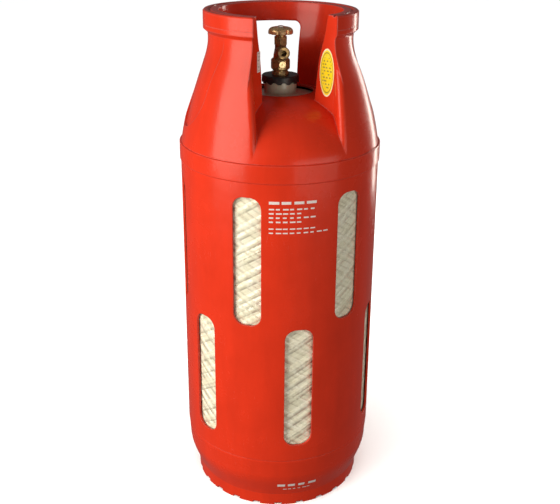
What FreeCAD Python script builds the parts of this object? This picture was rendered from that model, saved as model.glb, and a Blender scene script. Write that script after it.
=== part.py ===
import FreeCAD, Part
import math
import os

# Gas tank: a wound vessel inside a moulded plastic casing, with a valve in its collar.
# Millimetres, +Z up, foot on z = 0, the open side of the collar faces -Y.

V = FreeCAD.Vector
Z_AXIS = V(0, 0, 1)
ORIGIN = V(0, 0, 0)

# Overall sizes
BODY_R = 168.0
BASE_H = 104.0
BODY_H = 535.0
COLLAR_H = 215.0
SEAM_Z = BASE_H + BODY_H
TOTAL_H = SEAM_Z + COLLAR_H

# Middle casing
CASE_WALL = 3.8
CASE_GAP = 2.2
BAND_R = BODY_R + 1.8
BAND_H = 29.0
SKIRT_H = 15.0
SEAM_R = BODY_R - 1.0
WINDOW_W = 48.0
WINDOW_L = 222.0
WINDOW_CORNER = 19.0
WINDOW_COUNT = 6
WINDOW_EDGE_LOW = 31.6
WINDOW_EDGE_HIGH = 54.2
WINDOW_LOW_Z = BASE_H + WINDOW_EDGE_LOW + WINDOW_L / 2.0
WINDOW_HIGH_Z = SEAM_Z - WINDOW_EDGE_HIGH - WINDOW_L / 2.0

# Base casing
FOOT_R = BODY_R - 18.5
FOOT_WALL = 5.0
FOOT_STEP_Z = 24.5
NOTCH_COUNT = 24
NOTCH_W = 13.0
NOTCH_H = 4.0
NOTCH_TURN = 3.75
DECK_Z = 16.0
DECK_T = 4.0
DECK_HOLE_R = 60.0
CRADLE_R = 74.0
RIB_COUNT = 12
RIB_T = 4.0

# Vessel
SHELL_R = BODY_R - CASE_WALL - CASE_GAP
SHELL_T = 3.5
LINER_T = 4.0
DOME_RISE = 87.5
DOME_TOP_Z = SEAM_Z - 7.0
DOME_LOW_Z = DOME_RISE + 24.5
NECK_OUT_R = 27.3
NECK_TOP_Z = DOME_TOP_Z + DOME_RISE + 19.0
LINER_NECK_R = NECK_OUT_R - 6.8
INSERT_R = LINER_NECK_R - LINER_T
INSERT_L = 44.5
FLANGE_T = 3.5
SEAL_T = 2.0

# Collar
SHOULDER_RISE = DOME_RISE + 8.0
NECK_R = BODY_R - 49.0
RING_R = NECK_R + 7.4
RING_W = 24.4
RING_INNER_R = RING_R - RING_W
RING_H = 32.0
RING_LOW_Z = TOTAL_H - RING_H
SLOT_ANGLE = 33.0
SLOT_BEND_R = NECK_R + 0.35
SLOT_HALF_W = SLOT_BEND_R * math.sin(math.radians(SLOT_ANGLE))
BACK_ROUND = 12.0
LEG_ROUND = 8.0
EDGE_ROUND = 3.0
HOLE_R = 56.0
FLOOR_Z = DOME_TOP_Z + DOME_RISE - 4.5
PANEL_HALF_W = 60.0
PANEL_DEPTH = 4.6
PANEL_FADE = 0.3
PANEL_ARCH_Z = SEAM_Z + 89.0

# Neck nut
NUT_R = NECK_OUT_R + 3.7
NUT_TOP_Z = NECK_TOP_Z + 9.0
NUT_LOW_Z = NECK_TOP_Z - 4.0
NUT_WAVES = 12

# Valve
BORE_R = INSERT_R - 4.1
STEM_L = 47.5
RUN_CLEAR = 0.05
BLOCK_AF = 29.6
BLOCK_LOW_Z = NUT_TOP_Z + 8.0
BLOCK_TOP_Z = BLOCK_LOW_Z + 18.5
SEAT_Z = BLOCK_TOP_Z - 1.5
SEAT_LIP = 0.8
CHAMBER_R = 9.0
CHAMBER_TOP_Z = SEAT_Z + 8.5
GUIDE_R = 6.0
OUTLET_Z = SEAT_Z + 13.0
OUTLET_R = 10.4
OUTLET_REACH = 26.0
OUTLET_BORE_R = 5.0
OUTLET_BORE_L = 15.0
THREAD_PITCH = 1.6
DUCT_R = 1.5
DUCT_Y = 8.8
INLET_BORE_R = 4.0
BODY_TOP_Z = OUTLET_Z + 11.5
SPINDLE_R = 3.0
PLUG_R = GUIDE_R - RUN_CLEAR
LIFT = 3.0
STOP_H = 2.8
TANG_L = 11.0
TANG_T = 2.4
GLAND_AF = 20.4
GLAND_H = 12.0
GLAND_TOP_Z = BODY_TOP_Z + 16.2
GROOVE_R = SPINDLE_R + 1.6

# Handwheel
WHEEL_R = 20.5
WHEEL_H = 10.7
WHEEL_LOW_Z = GLAND_TOP_Z + 0.6
WHEEL_TOP_Z = WHEEL_LOW_Z + WHEEL_H
WHEEL_LOBES = 8
HUB_R = 8.0
RECESS_R = SPINDLE_R + 3.2

# Relief valve
RELIEF_Z = SEAT_Z - 6.9
RELIEF_R = 4.2
RELIEF_CAP_R = 6.2
RELIEF_SEAT_Y = 6.6
POPPET_H = 2.6
SPRING_L = 3.5
COIL_R = 2.5
COIL_PITCH = 1.3
WIRE_T = 0.6

# Stickers on the collar's cut faces
STICKER_T = 0.4
OVAL_R = RING_R - 22.7
OVAL_Z = SEAM_Z + 125.0
OVAL_HALF_W = 15.0
OVAL_HALF_H = 38.0
STRIP_R = RING_R - 31.6
STRIP_Z = SEAM_Z + 144.0
STRIP_W = 12.0
STRIP_H = 32.0


def polar(radius, angle, z=0.0):
    """Point at an angle in degrees from the front, turning towards +X."""
    a = math.radians(angle)
    return V(radius * math.sin(a), -radius * math.cos(a), z)


def turned(shape, angle):
    """Copy of a shape turned about the tank's axis."""
    copy = shape.copy()
    copy.rotate(ORIGIN, Z_AXIS, angle)
    return copy


def ring_copies(shape, count, start=0.0):
    """Copies of a shape spread evenly round the axis."""
    return [turned(shape, start + i * 360.0 / count) for i in range(count)]


def revolve(outline):
    """Solid from a closed outline of (radius, z) points; a list in it is one smooth run."""
    edges = []
    last = None
    runs = [item if isinstance(item, list) else [item] for item in outline]
    for run in runs + [runs[0][:1]]:
        points = [V(r, 0, z) for r, z in run]
        if last is not None and last.distanceToPoint(points[0]) > 1e-6:
            edges.append(Part.makeLine(last, points[0]))
        if len(points) > 1:
            edges.append(smooth_edge(points))
        last = points[-1]
    face = Part.Face(Part.Wire(edges))
    return face.revolve(ORIGIN, Z_AXIS, 360)


def smooth_edge(points):
    """Edge that runs smoothly through its points."""
    curve = Part.BSplineCurve()
    curve.interpolate(points)
    return curve.toShape()


def tube(outer, inner, low, high):
    """Straight ring with a vertical axis."""
    body = Part.makeCylinder(outer, high - low, V(0, 0, low))
    return body.cut(Part.makeCylinder(inner, high - low, V(0, 0, low)))


def prism(points, low, high):
    """Upright prism on a polygon of (x, y) points."""
    loop = [V(x, y, low) for x, y in points]
    face = Part.Face(Part.makePolygon(loop + loop[:1]))
    return face.extrude(V(0, 0, high - low))


def regular_prism(across_flats, sides, low, high, turn=0.0):
    """Upright prism on a regular polygon."""
    corner = across_flats / 2.0 / math.cos(math.pi / sides)
    angles = [turn + (i + 0.5) * 360.0 / sides for i in range(sides)]
    return prism([polar(corner, a)[:2] for a in angles], low, high)


def dome_run(radius, rise, base_z, start, end, steps=14):
    """Points on an elliptical dome between two radii; a negative rise hangs down."""
    first = math.acos(start / radius)
    last = math.acos(end / radius)
    angles = [first + (last - first) * i / steps for i in range(steps + 1)]
    return [(radius * math.cos(a), base_z + rise * math.sin(a)) for a in angles]


def capsule(radius, rise, neck_r, neck_top):
    """Solid with two elliptical ends and a neck on the upper one."""
    low = dome_run(radius, -rise, DOME_LOW_Z, 0.0, radius)
    high = dome_run(radius, rise, DOME_TOP_Z, radius, neck_r)
    return revolve([low, high, (neck_r, neck_top), (0.0, neck_top)])


def vessel_outer():
    """Outside of the wound shell."""
    return capsule(SHELL_R, DOME_RISE, NECK_OUT_R, NECK_TOP_Z)


def liner_outer():
    """Outside of the liner, which is also the inside of the wound shell."""
    return capsule(SHELL_R - SHELL_T, DOME_RISE - SHELL_T, LINER_NECK_R, NECK_TOP_Z)


def composite_vessel():
    """Wound shell around the liner."""
    return vessel_outer().cut(liner_outer())


def liner():
    """Blow-moulded liner with an open neck."""
    inside = capsule(
        SHELL_R - SHELL_T - LINER_T, DOME_RISE - SHELL_T - LINER_T, INSERT_R, NECK_TOP_Z
    )
    return liner_outer().cut(inside)


def window_cutter(centre_z):
    """Rounded slot through the casing at the front."""
    block = Part.makeBox(
        WINDOW_W, 40.0, WINDOW_L,
        V(-WINDOW_W / 2.0, -BODY_R - 15.0, centre_z - WINDOW_L / 2.0),
    )
    corners = [e for e in block.Edges if abs(e.tangentAt(0).y) > 0.99]
    return block.makeFillet(WINDOW_CORNER, corners)


def body_casing():
    """Middle casing: a tube with a thicker band on top and two rows of windows."""
    inner = BODY_R - CASE_WALL
    band_low = SEAM_Z - BAND_H
    body = revolve([
        (inner, BASE_H), (BODY_R - 1.0, BASE_H), (BODY_R, BASE_H + 1.5),
        (BODY_R, band_low - 1.8), (BAND_R, band_low), (BAND_R, SEAM_Z - 1.2),
        (BAND_R - 1.2, SEAM_Z), (BAND_R - CASE_WALL, SEAM_Z),
        (BAND_R - CASE_WALL, SEAM_Z - SKIRT_H - 1.0), (inner, SEAM_Z - SKIRT_H - 4.0),
    ])
    low_row = ring_copies(window_cutter(WINDOW_LOW_Z), WINDOW_COUNT)
    high_row = ring_copies(window_cutter(WINDOW_HIGH_Z), WINDOW_COUNT, 180.0 / WINDOW_COUNT)
    return body.cut(low_row + high_row)


def base_casing():
    """Lower casing: bowl, notched foot ring, deck and ribs that carry the vessel."""
    inner = BODY_R - CASE_WALL
    foot_in = FOOT_R - FOOT_WALL
    bowl = revolve([
        (inner, BASE_H), (BODY_R - 1.0, BASE_H), (BODY_R - 0.6, BASE_H - 3.0),
        (BODY_R - 1.4, BASE_H - 14.0), (BODY_R - 2.7, BASE_H - 34.0),
        [(BODY_R - 2.8, BASE_H - 35.0), (BODY_R - 4.6, BASE_H - 44.0),
         (BODY_R - 10.2, BASE_H - 60.0), (FOOT_R + 1.5, FOOT_STEP_Z)],
        (FOOT_R + 0.5, FOOT_STEP_Z - 1.0), (FOOT_R, 0.0), (foot_in, 0.0),
        (foot_in, FOOT_STEP_Z + 5.0),
        [(foot_in + 3.5, FOOT_STEP_Z + 5.1), (BODY_R - 14.5, BASE_H - 58.0),
         (BODY_R - 8.6, BASE_H - 42.0), (BODY_R - 6.8, BASE_H - 33.0)],
        (inner - 0.8, BASE_H - 14.0),
    ])
    deck = tube(foot_in + 1.0, DECK_HOLE_R, DECK_Z, DECK_Z + DECK_T)
    wall = tube(CRADLE_R, CRADLE_R - RIB_T, DECK_Z, 60.0)
    rib = Part.makeBox(
        foot_in + 1.0 - CRADLE_R + RIB_T / 2.0, RIB_T, 60.0,
        V(CRADLE_R - RIB_T / 2.0, -RIB_T / 2.0, DECK_Z + DECK_T / 2.0),
    )
    notch = Part.makeBox(
        NOTCH_W, 4.0 * FOOT_WALL, NOTCH_H,
        V(-NOTCH_W / 2.0, -FOOT_R - FOOT_WALL, 0.0),
    )
    body = bowl.fuse([deck, wall] + ring_copies(rib, RIB_COUNT)).removeSplitter()
    body = body.cut(vessel_outer())
    return body.cut(ring_copies(notch, NOTCH_COUNT, NOTCH_TURN))


def collar_profile(inset=0.0, fade=0.0):
    """Outer curve of the collar's legs up to the ring; an inset can fade out over its top share."""
    rise = RING_LOW_Z - 6.0 - SEAM_Z
    shape = [
        (1.6, 0.003), (5.0, 0.113), (11.0, 0.266), (21.7, 0.492), (35.2, 0.718),
        (45.0, 0.859), (BODY_R - NECK_R, 1.0),
    ]
    depths = [inset * min(1.0, (1.0 - part) / fade) if fade else inset for _, part in shape]
    return [
        (BODY_R - drop - depth, SEAM_Z + part * rise) for (drop, part), depth in zip(shape, depths)
    ]


def well_profile(outset=0.0):
    """Inner curve of the collar, from the ring's inner wall down to the floor."""
    rise = TOTAL_H - 14.0 - FLOOR_Z
    shape = [(3.0, 1.0), (7.0, 0.84), (15.0, 0.616), (20.0, 0.4), (22.5, 0.216), (26.0, 0.0)]
    return [(RING_INNER_R - drop + outset, FLOOR_Z + part * rise) for drop, part in shape]


def collar_block():
    """Collar and ring as a solid of revolution round the valve well."""
    low = RING_LOW_Z
    return revolve([
        (HOLE_R + 4.0, SEAM_Z), (SEAM_R, SEAM_Z), collar_profile(), (NECK_R, low - 4.0),
        [(NECK_R + 0.6, low - 3.0), (NECK_R + 3.4, low - 0.6), (RING_R, low + 3.0)],
        (RING_R, low + 9.5), (RING_R - 0.6, low + 10.0), (RING_R, low + 10.5),
        (RING_R, TOTAL_H - 2.0), (RING_R - 2.0, TOTAL_H), (RING_R - 7.9, TOTAL_H),
        (RING_R - 8.9, TOTAL_H - 2.5), (RING_R - 11.9, TOTAL_H - 2.5),
        (RING_R - 12.9, TOTAL_H - 0.4), (RING_INNER_R, TOTAL_H - 0.4),
        well_profile(), (HOLE_R + 4.0, FLOOR_Z - 5.0),
    ])


def slot_cutter(low, high):
    """Wedge that opens one side of the collar, parallel-sided further out."""
    reach = SLOT_HALF_W / math.tan(math.radians(SLOT_ANGLE))
    far = BODY_R + 40.0
    return prism([
        (0.0, 0.0), (-SLOT_HALF_W, -reach), (-SLOT_HALF_W, -far),
        (SLOT_HALF_W, -far), (SLOT_HALF_W, -reach),
    ], low, high)


def back_cutter():
    """Wedge for the back opening, closed by the ring and rounded below it."""
    block = slot_cutter(0.0, RING_LOW_Z)
    top = [e for e in block.Edges if e.BoundBox.ZMin > RING_LOW_Z - 0.1 and e.BoundBox.YLength > 5.0]
    return turned(block.makeFillet(BACK_ROUND, top), 180.0)


def on_leg(edge):
    """Radius of an edge's middle, and whether the edge runs up one of the cut faces."""
    point = edge.valueAt((edge.FirstParameter + edge.LastParameter) / 2.0)
    radius = math.hypot(point.x, point.y)
    upright = edge.Length > 90.0 and SEAM_Z < point.z < RING_LOW_Z - 10.0
    half_w = min(SLOT_HALF_W, radius * math.sin(math.radians(SLOT_ANGLE)))
    return radius, upright and abs(abs(point.x) - half_w) < 2.0


def round_legs(block):
    """Round the upright edges of the two half collars."""
    steps = [(LEG_ROUND, SLOT_BEND_R + 5.0, BODY_R), (EDGE_ROUND, 0.0, RING_INNER_R)]
    for radius, nearest, furthest in steps:
        found = [(e,) + on_leg(e) for e in block.Edges]
        edges = [e for e, r, stands in found if stands and nearest < r < furthest]
        block = block.makeFillet(radius, edges)
    return block


def panel_cutter():
    """Shallow arched recess in the +X side of the collar."""
    low = PANEL_ARCH_Z
    high = RING_LOW_Z - 8.0
    side = PANEL_HALF_W
    edges = [
        Part.makeLine(V(0, -side, low), V(0, -side, high)),
        Part.makeLine(V(0, -side, high), V(0, side, high)),
        Part.makeLine(V(0, side, high), V(0, side, low)),
        Part.Arc(V(0, side, low), V(0, 0, low - side), V(0, -side, low)).toShape(),
    ]
    block = Part.Face(Part.Wire(edges)).extrude(V(BODY_R + 40.0, 0, 0))
    core = revolve([
        (0.0, SEAM_Z - 40.0), (SEAM_R - PANEL_DEPTH, SEAM_Z - 40.0),
        collar_profile(PANEL_DEPTH, PANEL_FADE), (0.0, RING_LOW_Z - 6.0),
    ])
    return block.cut(core)


def leg_cavity():
    """Hollow in the +X half of the collar, between its outer and inner walls."""
    high = RING_LOW_Z - 10.0
    outer = collar_profile(PANEL_DEPTH + CASE_WALL)[:-1]
    inner = well_profile(CASE_WALL)[2:]
    space = revolve([
        (inner[-1][0], SEAM_Z - 40.0), (outer[0][0], SEAM_Z - 40.0), outer,
        (outer[-1][0], high), (inner[0][0] + 4.0, high), inner,
    ])
    lean = math.radians(SLOT_ANGLE)
    near = CASE_WALL / math.cos(lean)
    far = BODY_R + 40.0
    half = prism([
        (near, 0.0), (near + far * math.tan(lean), -far), (2.0 * far, -far),
        (2.0 * far, far), (near + far * math.tan(lean), far),
    ], 0.0, TOTAL_H)
    return space.common(half)


def shoulder_solid(radius, rise):
    """Domed solid under the collar, reaching down past the seam."""
    low = SEAM_Z - 60.0
    return revolve([
        (0.0, low), (radius, low), dome_run(radius, rise, DOME_TOP_Z, radius, 0.0),
    ])


def top_casing():
    """Upper casing: shoulder, two hollow half collars and the ring that joins them."""
    outer = shoulder_solid(SEAM_R, SHOULDER_RISE)
    inner = shoulder_solid(SEAM_R - CASE_WALL, SHOULDER_RISE - CASE_WALL)
    block = collar_block().cut([slot_cutter(0.0, TOTAL_H + 1.0), back_cutter()])
    block = round_legs(block.removeSplitter())
    block = block.cut([panel_cutter(), turned(panel_cutter(), 180.0)])
    block = block.cut([leg_cavity(), turned(leg_cavity(), 180.0), inner])
    above = Part.makeCylinder(BODY_R, COLLAR_H, V(0, 0, SEAM_Z))
    hole = Part.makeCylinder(HOLE_R, TOTAL_H)
    shell = outer.common(above).cut([inner, hole])
    skirt_r = BAND_R - CASE_WALL
    skirt = tube(skirt_r, skirt_r - CASE_WALL, SEAM_Z - SKIRT_H, SEAM_Z + 4.0)
    skirt = skirt.common(outer.fuse(Part.makeCylinder(BODY_R, SEAM_Z)))
    return block.fuse([shell, skirt]).removeSplitter()


def neck_insert():
    """Metal insert that seals into the liner's neck and carries the valve."""
    return revolve([
        (BORE_R, NECK_TOP_Z - INSERT_L), (INSERT_R, NECK_TOP_Z - INSERT_L), (INSERT_R, NECK_TOP_Z),
        (NECK_OUT_R - 1.0, NECK_TOP_Z), (NECK_OUT_R - 1.0, NECK_TOP_Z + FLANGE_T),
        (BORE_R, NECK_TOP_Z + FLANGE_T),
    ])


def neck_nut():
    """Round nut over the neck, with a wavy lower edge."""
    inner_top = NECK_TOP_Z + FLANGE_T + SEAL_T
    nut = revolve([
        (BORE_R, inner_top), (NECK_OUT_R, inner_top), (NECK_OUT_R, NUT_LOW_Z),
        (NUT_R - 0.8, NUT_LOW_Z), (NUT_R, NUT_LOW_Z + 0.8),
        (NUT_R, NUT_TOP_Z - 1.5), (NUT_R - 1.5, NUT_TOP_Z), (BORE_R, NUT_TOP_Z),
    ])
    scoop = Part.makeCylinder(6.0, 12.0, V(0, -NUT_R - 6.0, NUT_LOW_Z - 2.6), V(0, 1, 0))
    return nut.cut(ring_copies(scoop, NUT_WAVES))


def flat_ring(inner, outer, low, high):
    """Flat sealing ring or washer with eased edges."""
    ease = (high - low) * 0.25
    return revolve([
        (inner, low), (outer - ease, low), (outer, low + ease),
        (outer, high - ease), (outer - ease, high), (inner, high),
    ])


def along_front(shape, z):
    """Turn a shape built on +Z so that +Z points out of the front at a height."""
    copy = shape.copy()
    copy.rotate(ORIGIN, V(1, 0, 0), 90)
    copy.translate(V(0, 0, z))
    return copy


def front_hole(radius, z, start, depth):
    """Round hole bored towards the axis from a distance out in front."""
    return Part.makeCylinder(radius, depth, V(0, -start, z), V(0, 1, 0))


def outlet_boss():
    """Outlet pipe with thread rings, built on +Z."""
    outline = [(0.0, 0.0), (OUTLET_R, 0.0)]
    z = OUTLET_REACH / 2.0
    while z < OUTLET_REACH - 2.0 * THREAD_PITCH:
        outline += [(OUTLET_R, z), (OUTLET_R - 0.8, z + 0.45 * THREAD_PITCH)]
        z += THREAD_PITCH
    outline += [(OUTLET_R, z), (OUTLET_R, OUTLET_REACH - 1.2)]
    return revolve(outline + [(OUTLET_R - 1.2, OUTLET_REACH), (0.0, OUTLET_REACH)])


def valve_solid():
    """Outside of the valve body: stem, foot, block, barrel and outlet."""
    stem = Part.makeCylinder(BORE_R, STEM_L, V(0, 0, NUT_TOP_Z - STEM_L))
    foot = regular_prism(BLOCK_AF - 3.0, 8, NUT_TOP_Z, NUT_TOP_Z + 5.0)
    waist = Part.makeCylinder(BORE_R - 0.2, BLOCK_LOW_Z - NUT_TOP_Z, V(0, 0, NUT_TOP_Z))
    edge = BLOCK_AF / 2.0 + 2.2
    ease = 3.6
    block = regular_prism(BLOCK_AF, 8, BLOCK_LOW_Z, BLOCK_TOP_Z).common(revolve([
        (0.0, BLOCK_LOW_Z), (edge - ease, BLOCK_LOW_Z), (edge, BLOCK_LOW_Z + ease),
        (edge, BLOCK_TOP_Z - ease), (edge - ease, BLOCK_TOP_Z), (0.0, BLOCK_TOP_Z),
    ]))
    barrel = revolve([
        (0.0, BLOCK_TOP_Z), (12.0, BLOCK_TOP_Z), (11.6, BLOCK_TOP_Z + 6.0),
        (9.4, BODY_TOP_Z - 6.0), (9.4, BODY_TOP_Z), (0.0, BODY_TOP_Z),
    ])
    return stem.fuse([foot, waist, block, barrel, along_front(outlet_boss(), OUTLET_Z)])


def valve_body():
    """Valve body with its inlet, seat, chamber, outlet and relief passages."""
    low = NUT_TOP_Z - STEM_L
    floor = SEAT_Z - SEAT_LIP
    lip = tube(INLET_BORE_R + 1.2, INLET_BORE_R, floor, SEAT_Z)
    return valve_solid().cut([
        Part.makeCylinder(GUIDE_R, BODY_TOP_Z - CHAMBER_TOP_Z, V(0, 0, CHAMBER_TOP_Z)),
        Part.makeCylinder(CHAMBER_R, CHAMBER_TOP_Z - floor, V(0, 0, floor)).cut(lip),
        Part.makeCylinder(INLET_BORE_R, SEAT_Z - low, V(0, 0, low)),
        Part.makeCylinder(DUCT_R, OUTLET_Z - CHAMBER_TOP_Z + 4.0, V(0, -DUCT_Y, CHAMBER_TOP_Z - 2.0)),
        front_hole(OUTLET_BORE_R, OUTLET_Z, OUTLET_REACH, OUTLET_BORE_L),
        front_hole(DUCT_R, OUTLET_Z, OUTLET_REACH, OUTLET_REACH - DUCT_Y),
        front_hole(RELIEF_R, RELIEF_Z, BLOCK_AF, BLOCK_AF - RELIEF_SEAT_Y),
        front_hole(DUCT_R, RELIEF_Z, RELIEF_SEAT_Y, RELIEF_SEAT_Y),
    ])


def groove_heights():
    """Lower faces of the gland nut's two seal grooves."""
    return [BODY_TOP_Z + 4.0, BODY_TOP_Z + 8.0]


def gland_nut():
    """Hexagon gland nut with a collar and a lug for a sealing wire."""
    low = BODY_TOP_Z
    nut = regular_prism(GLAND_AF, 6, low, low + GLAND_H, 18.0)
    collar = Part.makeCylinder(8.6, GLAND_TOP_Z - low - GLAND_H, V(0, 0, low + GLAND_H))
    lug = Part.makeBox(4.4, 5.0, 6.0, V(-2.2, -13.6, low + 8.6))
    lug = lug.cut(front_hole(1.1, low + 12.6, 14.5, 8.0))
    bore = Part.makeCylinder(SPINDLE_R + RUN_CLEAR, GLAND_TOP_Z - low, V(0, 0, low))
    grooves = [Part.makeCylinder(GROOVE_R, SEAL_T, V(0, 0, z)) for z in groove_heights()]
    return nut.fuse([collar, turned(lug, -30.0)]).cut([bore] + grooves)


def gland_seals():
    """Two sealing rings in the gland nut's grooves."""
    inner = SPINDLE_R + RUN_CLEAR
    return Part.makeCompound([flat_ring(inner, GROOVE_R, z, z + SEAL_T) for z in groove_heights()])


def spindle():
    """Spindle with a retaining collar, a drive tang below and a stud on top."""
    collar_low = BODY_TOP_Z - RUN_CLEAR - STOP_H
    collar = Part.makeCylinder(GUIDE_R - 0.4, STOP_H, V(0, 0, collar_low))
    shaft = Part.makeCylinder(SPINDLE_R, WHEEL_TOP_Z + 2.5 - collar_low, V(0, 0, collar_low))
    tang = Part.makeBox(7.0, TANG_T, TANG_L, V(-3.5, -TANG_T / 2.0, collar_low + 1.0 - TANG_L))
    return collar.fuse([shaft, tang])


def plug_carrier():
    """Plug that the tang turns, slotted above and carrying its seal below."""
    low = SEAT_Z + 1.4
    high = BODY_TOP_Z - STOP_H - RUN_CLEAR - LIFT - 0.6
    body = Part.makeCylinder(PLUG_R, high - low, V(0, 0, low))
    slot_low = BODY_TOP_Z - STOP_H - RUN_CLEAR + 1.0 - TANG_L - LIFT - 0.6
    slot_w = TANG_T + 0.2
    slot = Part.makeBox(14.0, slot_w, high - slot_low, V(-7.0, -slot_w / 2.0, slot_low))
    return body.cut(slot)


def plug_seal():
    """Soft disc that closes on the seat."""
    return Part.makeCylinder(PLUG_R - 0.4, 1.4, V(0, 0, SEAT_Z))


def handwheel():
    """Lobed handwheel with a hub and a hollow underside."""
    body = revolve([
        (0.0, WHEEL_LOW_Z), (HUB_R, WHEEL_LOW_Z), (HUB_R, WHEEL_LOW_Z + 4.5),
        (WHEEL_R - 4.0, WHEEL_LOW_Z + 4.5), (WHEEL_R - 2.8, WHEEL_LOW_Z),
        (WHEEL_R - 0.6, WHEEL_LOW_Z), (WHEEL_R, WHEEL_LOW_Z + 1.0),
        [(WHEEL_R - 0.2, WHEEL_LOW_Z + 4.5), (WHEEL_R - 2.2, WHEEL_TOP_Z - 2.4),
         (WHEEL_R - 6.0, WHEEL_TOP_Z - 0.3), (WHEEL_R - 10.0, WHEEL_TOP_Z)],
        (RECESS_R + 0.8, WHEEL_TOP_Z), (RECESS_R, WHEEL_TOP_Z - 2.0), (0.0, WHEEL_TOP_Z - 2.0),
    ])
    scallop = Part.makeCylinder(4.2, 20.0, V(0, -WHEEL_R - 2.0, WHEEL_LOW_Z - 5.0))
    body = body.cut(ring_copies(scallop, WHEEL_LOBES, 22.5))
    return body.cut(Part.makeCylinder(SPINDLE_R, 30.0, V(0, 0, WHEEL_LOW_Z - 5.0)))


def handwheel_washer():
    """Washer under the handwheel's nut."""
    return flat_ring(SPINDLE_R, SPINDLE_R + 2.6, WHEEL_TOP_Z - 2.0, WHEEL_TOP_Z - 1.2)


def handwheel_nut():
    """Hexagon nut that holds the handwheel down."""
    low = WHEEL_TOP_Z - 1.2
    nut = regular_prism(2.0 * SPINDLE_R + 3.0, 6, low, low + 3.2, 10.0)
    return nut.cut(Part.makeCylinder(SPINDLE_R, 6.0, V(0, 0, low - 1.0)))


def relief_seal():
    """Soft disc on the relief valve's seat."""
    return along_front(Part.makeCylinder(3.0, 1.0, V(0, 0, RELIEF_SEAT_Y)), RELIEF_Z)


def relief_poppet():
    """Poppet behind the relief seal, with a spigot for the spring."""
    low = RELIEF_SEAT_Y + 1.0
    disc = Part.makeCylinder(RELIEF_R - RUN_CLEAR, POPPET_H - 1.0, V(0, 0, low))
    spigot = Part.makeCylinder(1.5, 0.8, V(0, 0, low + POPPET_H - 1.0))
    return along_front(disc.fuse(spigot), RELIEF_Z)


def relief_spring():
    """Coil spring of flat wire that presses the poppet onto its seat."""
    half = WIRE_T / 2.0
    coil = Part.makeHelix(COIL_PITCH, SPRING_L - WIRE_T, COIL_R)
    corners = [(-half, -half), (half, -half), (half, half), (-half, half)]
    loop = [V(COIL_R + x, 0, z) for x, z in corners]
    section = Part.makePolygon(loop + loop[:1])
    body = Part.Wire(coil.Edges).makePipeShell([section], True, True)
    body.translate(V(0, 0, RELIEF_SEAT_Y + POPPET_H + half))
    return along_front(body, RELIEF_Z)


def relief_cap():
    """Round vented cap screwed into the front of the valve block."""
    face = BLOCK_AF / 2.0
    end = RELIEF_SEAT_Y + POPPET_H + SPRING_L
    body = revolve([
        (1.0, end), (RELIEF_R, end), (RELIEF_R, face), (RELIEF_CAP_R, face),
        (RELIEF_CAP_R, face + 1.4), (RELIEF_CAP_R - 0.8, face + 2.2),
        (4.4, face + 2.2), (4.0, face + 1.4), (2.6, face + 1.4), (2.2, face + 2.2),
        (1.0, face + 2.2),
    ])
    return along_front(body, RELIEF_Z)


def on_cut_face(shape, side, radius, z):
    """Lay a sticker, built upright on +Y, on one of the collar's cut faces."""
    copy = shape.copy()
    copy.translate(V(radius, 0, z))
    angle = -90.0 + SLOT_ANGLE if side > 0 else -90.0 - SLOT_ANGLE
    return turned(copy, angle)


def oval_sticker():
    """Oval sticker on the right-hand cut face."""
    curve = Part.Ellipse(ORIGIN, OVAL_HALF_H, OVAL_HALF_W)
    oval = Part.Face(Part.Wire(curve.toShape())).extrude(V(0, 0, STICKER_T))
    oval.rotate(ORIGIN, V(0, 1, 0), -90)
    oval.rotate(ORIGIN, Z_AXIS, 90)
    oval.translate(V(0, -STICKER_T - oval.BoundBox.YMin, 0))
    return on_cut_face(oval, 1, OVAL_R, OVAL_Z)


def strip_sticker():
    """Narrow sticker on the left-hand cut face."""
    strip = Part.makeBox(STRIP_W, STICKER_T, STRIP_H, V(-STRIP_W / 2.0, 0, -STRIP_H / 2.0))
    strip = strip.makeFillet(1.5, [e for e in strip.Edges if abs(e.tangentAt(0).y) > 0.99])
    return on_cut_face(strip, -1, STRIP_R, STRIP_Z)


def valve_seal():
    """Ring that seals the valve's stem against the neck insert."""
    low = NECK_TOP_Z + FLANGE_T
    return flat_ring(BORE_R, NECK_OUT_R - 6.0, low, low + SEAL_T)


NODES = {
    "liner": liner,
    "composite_vessel": composite_vessel,
    "base_casing": base_casing,
    "body_casing": body_casing,
    "top_casing": top_casing,
    "neck_insert": neck_insert,
    "neck_nut": neck_nut,
    "valve_seal": valve_seal,
    "valve_body": valve_body,
    "gland_nut": gland_nut,
    "gland_seals": gland_seals,
    "spindle": spindle,
    "plug_carrier": plug_carrier,
    "plug_seal": plug_seal,
    "handwheel": handwheel,
    "handwheel_washer": handwheel_washer,
    "handwheel_nut": handwheel_nut,
    "relief_seal": relief_seal,
    "relief_poppet": relief_poppet,
    "relief_spring": relief_spring,
    "relief_cap": relief_cap,
    "oval_sticker": oval_sticker,
    "strip_sticker": strip_sticker,
}


def main():
    """Write one STEP file for each node."""
    os.makedirs("parts", exist_ok=True)
    for name, make in NODES.items():
        shape = make()
        shape.exportStep("parts/" + name + ".step")
        print(name, len(shape.Solids), "solids,", round(shape.Volume), "mm3")


main()
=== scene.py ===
import math

import bpy
from mathutils import Matrix, Vector


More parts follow.
